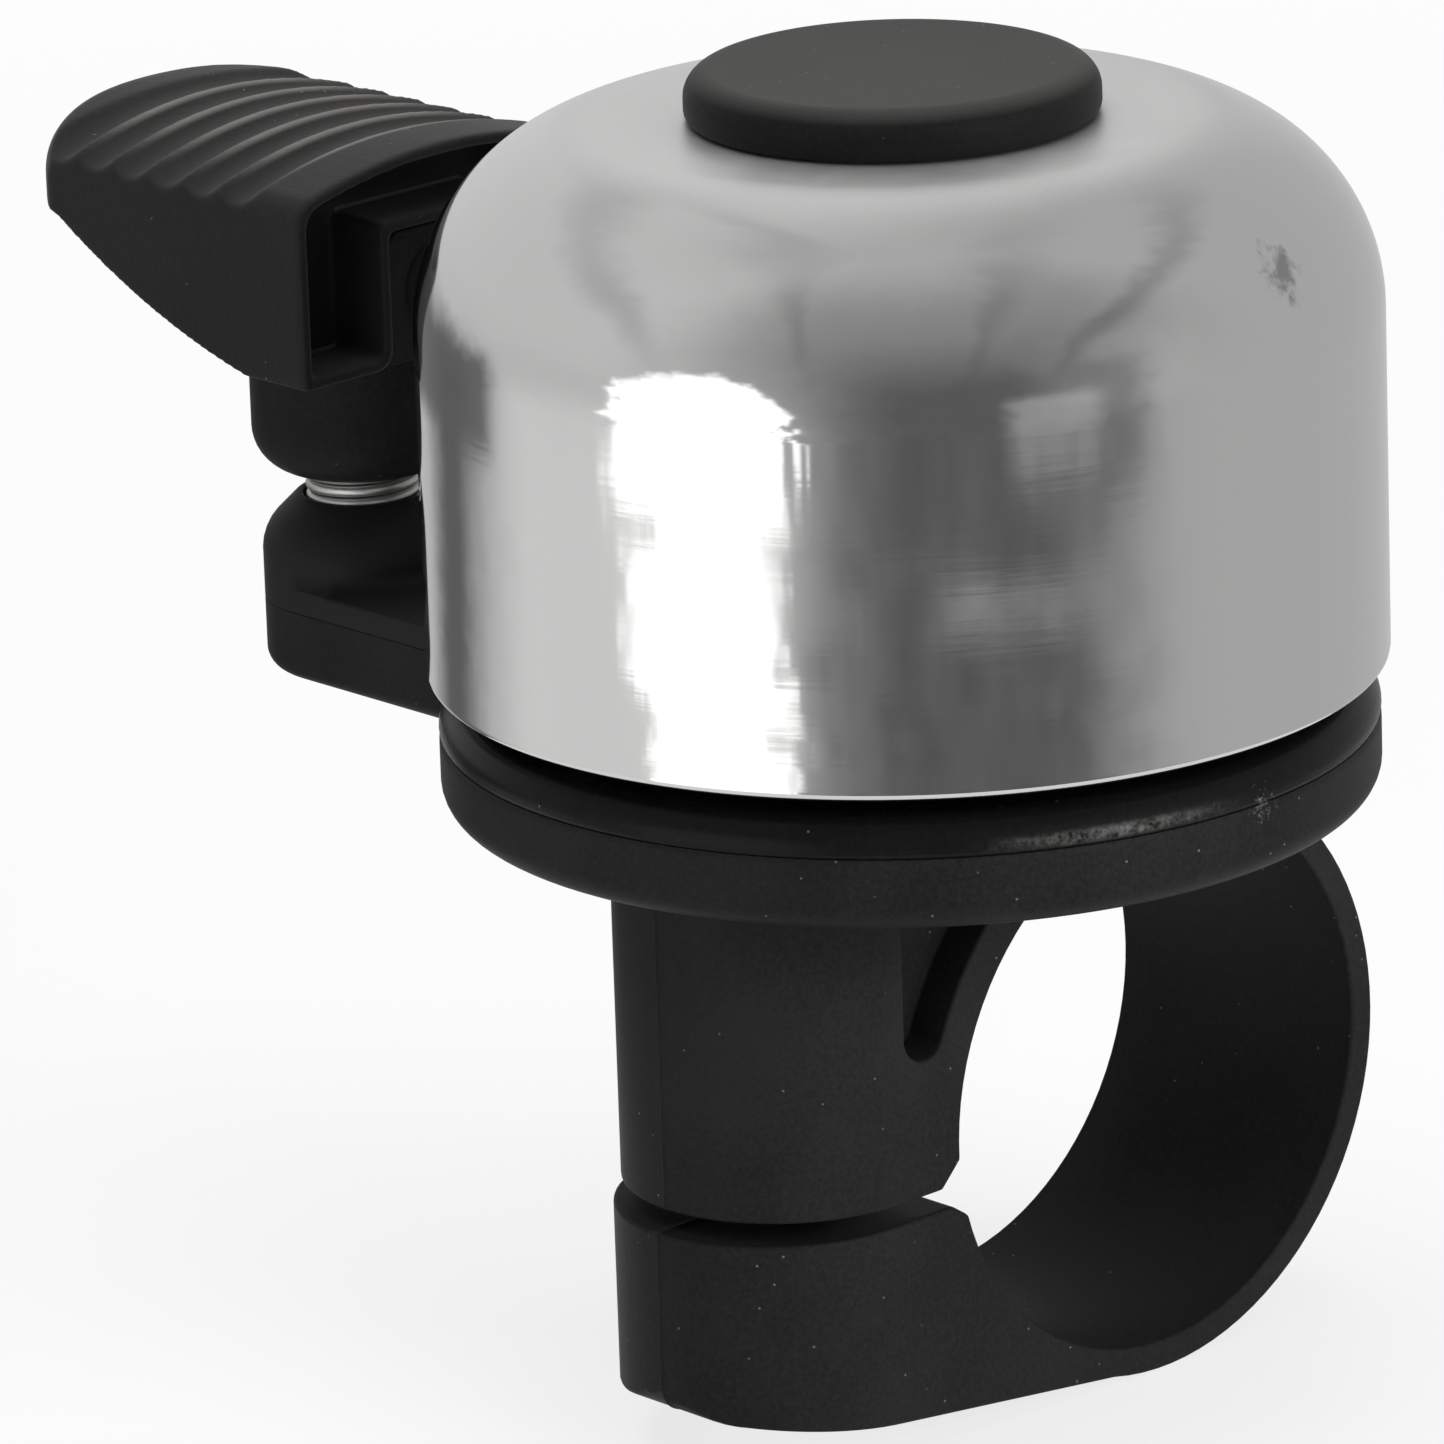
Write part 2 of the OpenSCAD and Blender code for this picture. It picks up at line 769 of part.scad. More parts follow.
// One unbroken wire: rings of points along the path, joined by triangles
module striker_spring() {
    n = len(spring_path);
    m = wire_sides;
    way = function (i) spring_path[min(i + 1, n - 1)] - spring_path[max(i - 1, 0)];
    points = [for (i = [0 : n - 1])
        let (t = way(i) / norm(way(i)),
             side = cross(t, [0, 0, 1]) / norm(cross(t, [0, 0, 1])),
             lift = cross(side, t))
        for (k = [0 : m - 1])
            spring_path[i] + wire_d / 2 * (cos(360 * k / m) * side + sin(360 * k / m) * lift)];
    walls = [for (i = [0 : n - 2], k = [0 : m - 1])
        let (a = i * m + k,
             b = i * m + (k + 1) % m)
        each [[a, b, b + m], [a, b + m, a + m]]];
    ends = concat(
        [for (k = [1 : m - 2]) [0, k + 1, k]],
        [for (k = [1 : m - 2]) [(n - 1) * m, (n - 1) * m + k, (n - 1) * m + k + 1]]);
    color([0.75, 0.75, 0.77])
        at_spring(coil_z)
            polyhedron(points = points, faces = concat(walls, ends), convexity = 10);
}

clamp_body();
base_plate();
dome_seat_washer();
bell_dome();
dome_washer();
dome_screw();
top_cap();
clamp_screw();
clamp_nut();
striker_core();
hammer();
thumb_cover();
striker_spring();
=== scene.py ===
import math

import bmesh
import bpy
from mathutils import Matrix, Quaternion, Vector


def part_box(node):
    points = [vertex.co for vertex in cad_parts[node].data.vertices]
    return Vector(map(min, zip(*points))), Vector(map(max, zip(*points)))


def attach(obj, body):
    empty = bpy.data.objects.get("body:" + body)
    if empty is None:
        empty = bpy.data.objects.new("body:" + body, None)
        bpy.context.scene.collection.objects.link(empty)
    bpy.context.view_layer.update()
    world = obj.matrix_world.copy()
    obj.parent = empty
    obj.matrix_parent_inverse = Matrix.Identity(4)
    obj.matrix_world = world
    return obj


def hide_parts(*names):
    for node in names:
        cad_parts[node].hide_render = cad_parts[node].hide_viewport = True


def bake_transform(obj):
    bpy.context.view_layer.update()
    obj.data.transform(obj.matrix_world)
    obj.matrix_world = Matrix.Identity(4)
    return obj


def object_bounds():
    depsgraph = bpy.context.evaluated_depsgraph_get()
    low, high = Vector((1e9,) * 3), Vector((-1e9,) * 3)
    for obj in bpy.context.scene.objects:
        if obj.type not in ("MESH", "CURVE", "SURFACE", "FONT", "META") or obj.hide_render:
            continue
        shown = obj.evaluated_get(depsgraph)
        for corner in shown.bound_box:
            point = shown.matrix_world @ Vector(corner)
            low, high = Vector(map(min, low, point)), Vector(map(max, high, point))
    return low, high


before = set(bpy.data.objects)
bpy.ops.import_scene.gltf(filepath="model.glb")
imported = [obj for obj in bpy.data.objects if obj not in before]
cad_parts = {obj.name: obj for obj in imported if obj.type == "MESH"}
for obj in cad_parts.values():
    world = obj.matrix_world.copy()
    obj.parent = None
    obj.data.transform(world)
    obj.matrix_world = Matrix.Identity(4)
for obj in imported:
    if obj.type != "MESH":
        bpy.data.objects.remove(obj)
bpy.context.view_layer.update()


# Clamp body: the lower half of the base, with its arm, the screw boss and the strap round the bar.
# It is one moulding in black nylon, so its edges are a little round and it has a fine satin grain.
# The strap springs open to pass over the bar, and the screw in the boss draws it shut.
mould_edge = 0.00016
mould_segments = 3
sharp_turn = math.radians(28)
flat_turn = math.radians(0.6)
same_point = 2e-6
cut_slack = 1e-7


def finish_mesh(solid, piece_name):
    """A smooth-shaded object at the origin from a finished bmesh."""
    mesh = bpy.data.meshes.new(piece_name)
    solid.to_mesh(mesh)
    solid.free()
    mesh.shade_smooth()
    piece = bpy.data.objects.new(piece_name, mesh)
    bpy.context.scene.collection.objects.link(piece)
    return piece


def merged_copy(node_name):
    """A bmesh of a CAD solid with its loose triangles joined."""
    solid = bmesh.new()
    solid.from_mesh(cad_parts[node_name].data)
    bmesh.ops.remove_doubles(solid, verts=solid.verts, dist=same_point)
    return solid


def flat_copy(node_name):
    """A bmesh of a CAD solid with the triangles of each flat face made one face."""
    solid = merged_copy(node_name)
    bmesh.ops.dissolve_limit(solid, angle_limit=flat_turn, verts=solid.verts, edges=solid.edges)
    return solid


def edge_middle(edge):
    """The point halfway along an edge."""
    return (edge.verts[0].co + edge.verts[1].co) / 2


def round_edges(solid, edge_round, segments, wanted=None):
    """Rounds the sharp edges of a solid, or only those whose middle is wanted."""
    sharp = [edge for edge in solid.edges if edge.is_manifold and edge.calc_face_angle() > sharp_turn]
    if wanted:
        sharp = [edge for edge in sharp if wanted(edge_middle(edge))]
    bmesh.ops.bevel(
        solid, geom=sharp, offset=edge_round, offset_type="OFFSET", affect="EDGES", segments=segments,
        profile=0.5, material=-1, clamp_overlap=False)


def cut_across(solid, x):
    """Cuts the faces of a solid along the upright plane at x, and keeps both sides."""
    bmesh.ops.bisect_plane(
        solid, geom=solid.verts[:] + solid.edges[:] + solid.faces[:], dist=cut_slack,
        plane_co=(x, 0, 0), plane_no=(1, 0, 0))


def even_shading(piece):
    """Lets the large faces of a piece set its shading, so that its flats stay flat."""
    even = piece.modifiers.new("even_shading", "WEIGHTED_NORMAL")
    even.mode = "FACE_AREA"
    even.keep_sharp = True
    return piece


def place(tree, kind, inputs=None, **properties):
    """A shader node with its properties set and its sockets given a value or a link."""
    made = tree.nodes.new("ShaderNode" + kind)
    for name, value in properties.items():
        setattr(made, name, value)
    for name, value in (inputs or {}).items():
        if isinstance(value, bpy.types.NodeSocket):
            tree.links.new(value, made.inputs[name])
        else:
            made.inputs[name].default_value = value
    return made


def calc(tree, operation, *values):
    """The result of one sum on values or links."""
    return place(tree, "Math", dict(enumerate(values)), operation=operation).outputs[0]


def ranged(tree, value, low, high, to_low=0.0, to_high=1.0, smooth=False, clamp=True):
    """A value brought from one range to another, on a straight line or in a soft bend."""
    return place(tree, "MapRange", {
        "Value": value, "From Min": low, "From Max": high, "To Min": to_low, "To Max": to_high},
        interpolation_type="SMOOTHSTEP" if smooth else "LINEAR", clamp=clamp).outputs[0]


def mixed(tree, share, first, second, kind="RGBA"):
    """One colour or value that turns into another by a share."""
    return place(
        tree, "Mix", {"Factor": share, "A": first, "B": second}, data_type=kind).outputs["Result"]


def noise(tree, spot, scale, detail, roughness=0.5, distortion=0.0):
    """Cloudy noise at a point, as a value and as a colour."""
    return place(tree, "TexNoise", {
        "Vector": spot, "Scale": scale, "Detail": detail, "Roughness": roughness,
        "Distortion": distortion}).outputs


def new_effect(name, inputs, outputs):
    """An empty node group with named sockets, and its two ends."""
    group = bpy.data.node_groups.new(name, "ShaderNodeTree")
    for socket_name, kind, value in inputs:
        socket = group.interface.new_socket(
            socket_name, in_out="INPUT", socket_type="NodeSocket" + kind)
        socket.default_value = value
    for socket_name, kind in outputs:
        group.interface.new_socket(socket_name, in_out="OUTPUT", socket_type="NodeSocket" + kind)
    return group, group.nodes.new("NodeGroupInput").outputs, group.nodes.new("NodeGroupOutput").inputs


# The grain of a spark-finished mould, with a slow change of tone where the melt flowed. The two
# noises add up to about 1.
flow_rate = 140.0
mould_grain, given, put = new_effect(
    "mould_grain",
    [("Deep", "Color", (0.02, 0.02, 0.02, 1)), ("Pale", "Color", (0.03, 0.03, 0.03, 1)),
     ("Grain per metre", "Float", 5000.0), ("Roughness", "Float", 0.5), ("Change", "Float", 0.1)],
    [("Color", "Color"), ("Roughness", "Float"), ("Height", "Float")])
spot = place(mould_grain, "TexCoord").outputs["Object"]
grain = noise(mould_grain, spot, given["Grain per metre"], detail=3.0, roughness=0.6)["Fac"]
flow = noise(mould_grain, spot, flow_rate, detail=2.0)["Fac"]
both = calc(mould_grain, "ADD", grain, flow)
tone = ranged(mould_grain, both, low=0.75, high=1.25)
swing = ranged(mould_grain, both, low=0.6, high=1.4, to_low=-0.5, to_high=0.5, clamp=False)
rough = calc(mould_grain, "MULTIPLY_ADD", swing, given["Change"], given["Roughness"])
mould_grain.links.new(mixed(mould_grain, tone, given["Deep"], given["Pale"]), put["Color"])
mould_grain.links.new(rough, put["Roughness"])
mould_grain.links.new(grain, put["Height"])


# Lint and dust that cling to black mouldings: a few pale specks a tenth of a millimetre across.
# What faces up is also made paler: a painted highlight from the light overhead.
top_light_starts, top_light_full = 0.55, 0.97
speck_rim, speck_heart = 0.07, 0.03
dust_and_top_light, given, put = new_effect(
    "dust_and_top_light",
    [("Color", "Color", (0.02, 0.02, 0.02, 1)), ("Dust and top light", "Color", (0.2, 0.2, 0.2, 1)),
     ("Specks per metre", "Float", 1100.0), ("Share", "Float", 0.5), ("Painted top light", "Float", 0.0)],
    [("Color", "Color")])
here = place(dust_and_top_light, "TexCoord").outputs
# Painted highlight: faces that look up are made paler, by the share given for the top.
upward = place(dust_and_top_light, "SeparateXYZ", {"Vector": here["Normal"]}).outputs["Z"]
facing = ranged(dust_and_top_light, upward, top_light_starts, top_light_full)
top_light = calc(dust_and_top_light, "MULTIPLY", facing, given["Painted top light"])
top_lit = mixed(dust_and_top_light, top_light, given["Color"], given["Dust and top light"])
cells = place(dust_and_top_light, "TexVoronoi", {
    "Vector": here["Object"], "Scale": given["Specks per metre"]}).outputs
near = ranged(dust_and_top_light, cells["Distance"], speck_rim, speck_heart)
draw = place(dust_and_top_light, "SeparateColor", {"Color": cells["Color"]}).outputs["Red"]
kept = calc(dust_and_top_light, "LESS_THAN", draw, given["Share"])
speck = calc(dust_and_top_light, "MULTIPLY", near, kept)
dust_and_top_light.links.new(mixed(dust_and_top_light, speck, top_lit, given["Dust and top light"]), put["Color"])
dust_and_top_light_colour = (0.16, 0.16, 0.155, 1)


def moulded_finish(
        name, deep, pale, grain_rate, roughness, change, bump_height, dust_share=0.5, painted_top_light=0.0,
        **shader_values):
    """A moulded plastic or rubber with the mould's grain in its colour, gloss and surface."""
    finish = bpy.data.materials.new(name)
    finish.use_nodes = True
    tree = finish.node_tree
    shader = tree.nodes["Principled BSDF"]
    skin = place(tree, "Group", {
        "Deep": deep, "Pale": pale, "Grain per metre": grain_rate, "Roughness": roughness,
        "Change": change}, node_tree=mould_grain).outputs
    # Dust specks, and a painted highlight that makes upward faces paler.
    dusty_and_top_lit = place(tree, "Group", {
        "Color": skin["Color"], "Dust and top light": dust_and_top_light_colour, "Share": dust_share, "Painted top light": painted_top_light},
        node_tree=dust_and_top_light).outputs
    bump = place(tree, "Bump", {"Height": skin["Height"], "Strength": 1.0, "Distance": bump_height})
    tree.links.new(dusty_and_top_lit["Color"], shader.inputs["Base Color"])
    tree.links.new(skin["Roughness"], shader.inputs["Roughness"])
    tree.links.new(bump.outputs["Normal"], shader.inputs["Normal"])
    for socket_name, value in shader_values.items():
        shader.inputs[socket_name.replace("_", " ").title().replace("Ior", "IOR")].default_value = value
    return finish


def wear(piece, finish, body, slot, *nodes):
    """Gives a piece its finish and its body, and hides the CAD nodes that it stands for; its slot is not
    used.
    """
    piece.data.materials.clear()
    piece.data.materials.append(finish)
    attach(piece, body)
    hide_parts(*nodes)


satin_nylon = moulded_finish(
    "satin_nylon", deep=(0.012, 0.012, 0.012, 1), pale=(0.022, 0.022, 0.022, 1), grain_rate=5200.0,
    roughness=0.50, change=0.16, bump_height=0.000015, dust_share=0.6, specular_ior_level=0.055)
seam_height = 0.01555
seam_edge = 0.00005
seam_segments = 2
arm_root_left, arm_root_right = -0.0186, -0.0160
arm_root_front, arm_root_back = -0.015, -0.004
arm_root_foot = 0.0115


def at_seam(spot):
    """Whether a point lies where the two halves of the base meet."""
    return abs(spot.z - seam_height) < 2 * seam_edge


def at_arm_root(spot):
    """Whether a point lies in the inner corner where the arm meets the round base."""
    in_plan = arm_root_left < spot.x < arm_root_right and arm_root_front < spot.y < arm_root_back
    return in_plan and spot.z > arm_root_foot


def round_half(solid, kept_sharp):
    """Rounds the edges of one half of the base, those along the seam least, and some not at all."""
    round_edges(solid, seam_edge, seam_segments, at_seam)
    round_edges(
        solid, mould_edge, mould_segments, lambda spot: not at_seam(spot) and not kept_sharp(spot))


# The two halves of the mould met on the middle plane, so a fine raised line runs down the front of
# the boss and the block and round the outside of the strap.
parting_half = 0.00007
parting_height = 0.00004
strap_outside = 0.01225
strap_head, strap_front = 0.012, -0.009
boss_head, boss_front = 0.0118, -0.0188
clamp_solid = flat_copy("clamp_body")
round_half(clamp_solid, at_arm_root)
for side in (-1, 1):
    cut_across(clamp_solid, side * parting_half)
parting_strip = []
for face in clamp_solid.faces:
    middle = face.calc_center_median()
    reach = max(abs(vert.co.x) for vert in face.verts)
    if abs(middle.x) < parting_half and reach < 2 * parting_half:
        round_bar = math.hypot(middle.y, middle.z)
        on_strap = round_bar > strap_outside and middle.z < strap_head and middle.y > strap_front
        on_front = middle.y < boss_front and middle.z < boss_head
        if on_strap or on_front:
            parting_strip.append(face)
bmesh.ops.inset_region(
    clamp_solid, faces=parting_strip, thickness=parting_half / 2, depth=parting_height,
    use_boundary=True, use_even_offset=True)
clamp_moulding = even_shading(finish_mesh(clamp_solid, "clamp_moulding"))
wear(clamp_moulding, satin_nylon, "base", "moulded_black", "clamp_body")


# Base plate: the upper half of the base, with the glossy shoulder under the dome, the hollow post
# that carries it, the ribs round the post's foot and the spring post on the arm.
# It is moulded in the same black nylon, from a polished mould, and sits on two pegs.
bell_x, bell_y = 0.0, -0.007
polished_nylon = moulded_finish(
    "polished_nylon", deep=(0.0065, 0.0065, 0.0065, 1), pale=(0.009, 0.009, 0.009, 1),
    grain_rate=2600.0, roughness=0.27, change=0.05, bump_height=0.000003, specular_ior_level=0.07)
full_turn = 2 * math.pi
round_step = 0.0002
least_segments, most_segments = 4, 48


def spun_solid(outline, steps, axis_x, axis_y, closed=True):
    """A bmesh turned on an upright axis from corners (radius, height, rounding)."""
    solid = bmesh.new()
    corners = [
        solid.verts.new((axis_x + radius, axis_y, height)) for radius, height, rounding in outline]
    for start, end in zip(corners, corners[1:]):
        solid.edges.new((start, end))
    if closed:
        solid.edges.new((corners[-1], corners[0]))
    for corner, (radius, height, rounding) in zip(corners, outline):
        if rounding:
            segments = min(most_segments, max(least_segments, round(rounding / round_step)))
            bmesh.ops.bevel(
                solid, geom=[corner], offset=rounding, offset_type="OFFSET", affect="VERTICES",
                segments=segments, profile=0.5, material=-1)
    bmesh.ops.spin(
        solid, geom=solid.verts[:] + solid.edges[:], cent=(axis_x, axis_y, 0), axis=(0, 0, 1),
        angle=full_turn, steps=steps, use_merge=True)
    bmesh.ops.remove_doubles(solid, verts=solid.verts, dist=same_point)
    bmesh.ops.recalc_face_normals(solid, faces=solid.faces)
    return solid


def take_in(solid, added):
    """Puts the faces of one bmesh into another."""
    passing = bpy.data.meshes.new("passing")
    added.to_mesh(passing)
    added.free()
    solid.from_mesh(passing)
    bpy.data.meshes.remove(passing)


# The slope round the top of the spring post runs into its side in a soft bend, so the top is cut
# off and turned anew with that bend, then joined to the rest of the plate. The arm's upper edges are
# rounded only as far as the post, where they run out on it.
spring_x, spring_y = -0.0293, -0.0096
post_radius, post_hole, post_rim = 0.00425, 0.0025, 0.00275
post_cut, post_slope, post_top = 0.0174, 0.0184, 0.0199
post_bend, rim_round, hole_round = 0.0008, 0.00012, 0.0001
post_join = 0.0002
post_steps = 96
foot_margin = 0.0001
arm_edge_end = -0.0272


def from_post(spot):
    """Distance of a point from the axis of the spring post."""
    return math.hypot(spot.x - spring_x, spot.y - spring_y)


def at_post(spot):
    """Whether a point lies on the foot of the post, or where the arm's upper edges run out on it."""
    on_foot = from_post(spot) < post_radius + foot_margin
    return on_foot or (spot.x < arm_edge_end and spot.z > seam_height + seam_edge)


plate_solid = flat_copy("base_plate")
post_faces = [face for face in plate_solid.faces if all(
    from_post(vert.co) < post_radius + post_join for vert in face.verts)]
post_parts = dict.fromkeys(part for face in post_faces for part in (face, *face.edges, *face.verts))
bmesh.ops.bisect_plane(
    plate_solid, geom=list(post_parts), dist=cut_slack, plane_co=(0, 0, post_cut), plane_no=(0, 0, 1),
    clear_outer=True)
cut_across(plate_solid, arm_edge_end)
round_half(plate_solid, lambda spot: at_arm_root(spot) or at_post(spot))
post_outline = [
    (post_radius, post_cut + post_join, 0),
    (post_radius, post_slope, post_bend),
    (post_rim, post_top, rim_round),
    (post_hole, post_top, hole_round),
    (post_hole, post_cut + post_join, 0)]
take_in(plate_solid, spun_solid(post_outline, post_steps, spring_x, spring_y, closed=False))
for radius in (post_radius, post_hole):
    bmesh.ops.bridge_loops(plate_solid, edges=[
        edge for edge in plate_solid.edges
        if edge.is_boundary and abs(from_post(edge_middle(edge)) - radius) < post_join])
bmesh.ops.dissolve_degenerate(plate_solid, dist=cut_slack, edges=plate_solid.edges)
bmesh.ops.recalc_face_normals(plate_solid, faces=plate_solid.faces)
plate_moulding = even_shading(finish_mesh(plate_solid, "plate_moulding"))


def beside_axis(tree, x, y):
    """Where a point lies beside an upright axis, and its distance from it."""
    spot = place(tree, "TexCoord").outputs["Object"]
    beside = place(tree, "Mapping", {
        "Vector": spot, "Location": (-x, -y, 0), "Scale": (1, 1, 0)}).outputs["Vector"]
    return beside, place(tree, "VectorMath", {0: beside}, operation="LENGTH").outputs["Value"]


def turn_from_front(tree, axes):
    """The turn of a point round an upright axis, from the front towards the right."""
    front = calc(tree, "MULTIPLY", axes["Y"], -1.0)
    return calc(tree, "ARCTAN2", axes["X"], front)


def apart_from(tree, value, centre):
    """How far a value lies from a centre."""
    return calc(tree, "ABSOLUTE", calc(tree, "SUBTRACT", value, centre))


def rework(tree, socket_name, change):
    """Puts a change between a socket of the shader and what was linked to it."""
    socket = tree.nodes["Principled BSDF"].inputs[socket_name]
    tree.links.new(change(socket.links[0].from_socket), socket)


# Only the shoulder was polished in the mould: the arm and the spring post are satin, and a little
# paler.
polish_end, satin_start, satin_rise = 0.0188, 0.0198, 0.24
arm_starts, arm_full = 0.0195, 0.0215
arm_colour = (0.019, 0.019, 0.019, 1)
tree = polished_nylon.node_tree
beside, out = beside_axis(tree, bell_x, bell_y)
satin = ranged(tree, out, polish_end, satin_start, 0.0, satin_rise)
on_arm = ranged(tree, out, arm_starts, arm_full)
rework(tree, "Roughness", lambda gloss: calc(tree, "ADD", gloss, satin))
rework(tree, "Base Color", lambda plain: mixed(tree, on_arm, plain, arm_colour))

# The shoulder is painted pale on the right, just above the seam, as a painted highlight.
shoulder_highlight_low, shoulder_highlight_high, shoulder_highlight_soft = 0.01576, 0.01612, 0.00020
shoulder_highlight_middle, shoulder_highlight_half = (shoulder_highlight_low + shoulder_highlight_high) / 2, (shoulder_highlight_high - shoulder_highlight_low) / 2
shoulder_highlight_turn, shoulder_highlight_reach = math.radians(71), math.radians(20)
shoulder_highlight_rate = 3200.0
shoulder_highlight_colour = (0.17, 0.165, 0.157, 1)
where = place(tree, "TexCoord").outputs["Object"]
axes = place(tree, "SeparateXYZ", {"Vector": where}).outputs
flat = place(tree, "SeparateXYZ", {"Vector": beside}).outputs
aside = apart_from(tree, turn_from_front(tree, flat), shoulder_highlight_turn)
off = apart_from(tree, axes["Z"], shoulder_highlight_middle)
shoulder_highlight = noise(tree, where, shoulder_highlight_rate, detail=4.0, roughness=0.7)["Fac"]
shoulder_highlight = ranged(tree, shoulder_highlight, low=0.36, high=0.72)
for distance, reach, end in (
        (aside, shoulder_highlight_reach, 0.0), (off, shoulder_highlight_half + shoulder_highlight_soft, shoulder_highlight_soft / 3)):
    shoulder_highlight = calc(tree, "MULTIPLY", shoulder_highlight, ranged(tree, distance, reach, end, smooth=True))
rework(tree, "Base Color", lambda plain: mixed(tree, shoulder_highlight, plain, shoulder_highlight_colour))

# A chip on the seam at the right broke both halves, and shows the paler nylon inside.
chip_spot = (0.01855, -0.0062, 0.01548)
chip_rate, chip_fray = 4200.0, 0.005
chip_rim, chip_heart = 0.00275, 0.00215
chip_colour = (0.11, 0.115, 0.11, 1)
seam_chip, given, put = new_effect(
    "seam_chip", [("Color", "Color", (0.01, 0.01, 0.01, 1))], [("Color", "Color")])
spot = place(seam_chip, "TexCoord").outputs["Object"]
ragged = noise(seam_chip, spot, chip_rate, detail=4.0, roughness=0.7)["Fac"]
apart = place(seam_chip, "VectorMath", {0: spot, 1: chip_spot}, operation="DISTANCE").outputs["Value"]
ragged = calc(seam_chip, "MULTIPLY_ADD", ragged, chip_fray, apart)
chipped = ranged(seam_chip, ragged, chip_rim, chip_heart)
seam_chip.links.new(mixed(seam_chip, chipped, given["Color"], chip_colour), put["Color"])
for finish in (satin_nylon, polished_nylon):
    rework(finish.node_tree, "Base Color", lambda plain: place(
        finish.node_tree, "Group", {"Color": plain}, node_tree=seam_chip).outputs["Color"])
wear(plate_moulding, polished_nylon, "base", "moulded_black", "base_plate")


# Seat washer: a soft ring between the post and the dome, which lets the dome ring freely.
# It is punched from grey rubber sheet, and the screw squeezes it in place.
soft_segments = 8


def moulded_copy(node_name, piece_name, edge_round, soft_round=0, soft_edge=None):
    """A copy of a CAD solid with its sharp edges rounded, some of them more than the rest."""
    solid = flat_copy(node_name)
    if soft_edge:
        round_edges(solid, soft_round, soft_segments, soft_edge)
    round_edges(solid, edge_round, mould_segments)
    return even_shading(finish_mesh(solid, piece_name))


washer_rubber = moulded_finish(
    "washer_rubber", deep=(0.05, 0.05, 0.05, 1), pale=(0.09, 0.09, 0.09, 1), grain_rate=3800.0,
    roughness=0.75, change=0.12, bump_height=0.00003)
seat_ring = moulded_copy("dome_seat_washer", "seat_ring", edge_round=0.00012)
wear(seat_ring, washer_rubber, "base", "soft_washer", "dome_seat_washer")


# Dome: spun and pressed from steel sheet, plated and polished, with a sunk seat in its top for the
# screw and the cap. Its rim is rolled smooth and hangs just clear of the base.
dome_low, dome_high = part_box("bell_dome")
dome_radius = dome_high.x
dome_wall = 0.0015
dome_shoulder = 0.008
dome_steps = 192
rim_roll = 0.00045
seat_radius = 0.0058
seat_floor = dome_high.z - 0.0016
seat_lip, seat_corner = 0.0004, 0.0005
screw_way, screw_lip = 0.00205, 0.0002
dome_outline = [
    (screw_way, seat_floor, screw_lip),
    (seat_radius, seat_floor, seat_corner),
    (seat_radius, dome_high.z, seat_lip),
    (dome_radius, dome_high.z, dome_shoulder),
    (dome_radius, dome_low.z, rim_roll),
    (dome_radius - dome_wall, dome_low.z, rim_roll),
    (dome_radius - dome_wall, dome_high.z - dome_wall, dome_shoulder - dome_wall),
    (seat_radius + dome_wall, dome_high.z - dome_wall, seat_lip),
    (seat_radius + dome_wall, seat_floor - dome_wall, seat_corner),
    (screw_way, seat_floor - dome_wall, screw_lip)]
spun_dome = even_shading(finish_mesh(spun_solid(dome_outline, dome_steps, bell_x, bell_y), "spun_dome"))

# The haze that a polishing mop leaves, with hair-fine marks that run round the axis and a faint
# ripple of the sheet under the plating, which makes the edges of reflections ragged.
smear_rate, ripple_rate = 210.0, 1500.0
mark_stretch = (0.06, 0.06, 1.0)
polish_haze, given, put = new_effect(
    "polish_haze",
    [("Roughness", "Float", 0.06), ("Haze", "Float", 0.05), ("Marks per metre", "Float", 2500.0),
     ("Ripple", "Float", 0.0)],
    [("Roughness", "Float"), ("Height", "Float")])
spot = place(polish_haze, "TexCoord").outputs["Object"]
smear = noise(polish_haze, spot, smear_rate, detail=4.0, roughness=0.62, distortion=0.4)["Fac"]
along = place(polish_haze, "Mapping", {"Vector": spot, "Scale": mark_stretch}).outputs["Vector"]
marks = noise(polish_haze, along, given["Marks per metre"], detail=2.0)["Fac"]
ripple = noise(polish_haze, spot, ripple_rate, detail=2.0, roughness=0.55)["Fac"]
patch = ranged(polish_haze, smear, low=0.35, high=0.65)
ripple = calc(polish_haze, "MULTIPLY", ripple, patch)
cloud = ranged(polish_haze, smear, low=0.42, high=0.75)
rough = calc(polish_haze, "MULTIPLY_ADD", cloud, given["Haze"], given["Roughness"])
height = calc(polish_haze, "MULTIPLY_ADD", ripple, given["Ripple"], marks)
polish_haze.links.new(rough, put["Roughness"])
polish_haze.links.new(height, put["Height"])


def polished_finish(name, colour, roughness, haze, marks_rate, mark_depth, ripple=0.0):
    """A bare or plated metal with the haze and marks of its polishing."""
    finish = bpy.data.materials.new(name)
    finish.use_nodes = True
    tree = finish.node_tree
    shader = tree.nodes["Principled BSDF"]
    shader.inputs["Base Color"].default_value = colour
    shader.inputs["Metallic"].default_value = 1.0
    skin = place(tree, "Group", {
        "Roughness": roughness, "Haze": haze, "Marks per metre": marks_rate, "Ripple": ripple},
        node_tree=polish_haze).outputs
    bump = place(tree, "Bump", {"Height": skin["Height"], "Strength": 1.0, "Distance": mark_depth})
    tree.links.new(skin["Roughness"], shader.inputs["Roughness"])
    tree.links.new(bump.outputs["Normal"], shader.inputs["Normal"])
    return finish


chrome_colour = (0.62, 0.62, 0.615, 1)
chrome_plate = polished_finish(
    "chrome_plate", colour=chrome_colour, roughness=0.05, haze=0.05, marks_rate=2600.0,
    mark_depth=0.000001, ripple=0.7)

# The mop can't reach into the corner round the cap, so the flat of the dome is duller there.
dull_full, dull_end, dull_rise = 0.0116, 0.0148, 0.36
tree = chrome_plate.node_tree
beside, out = beside_axis(tree, bell_x, bell_y)
dull = ranged(tree, out, dull_full, dull_end, dull_rise, 0.0, smooth=True)
rework(tree, "Roughness", lambda gloss: calc(tree, "ADD", gloss, dull))

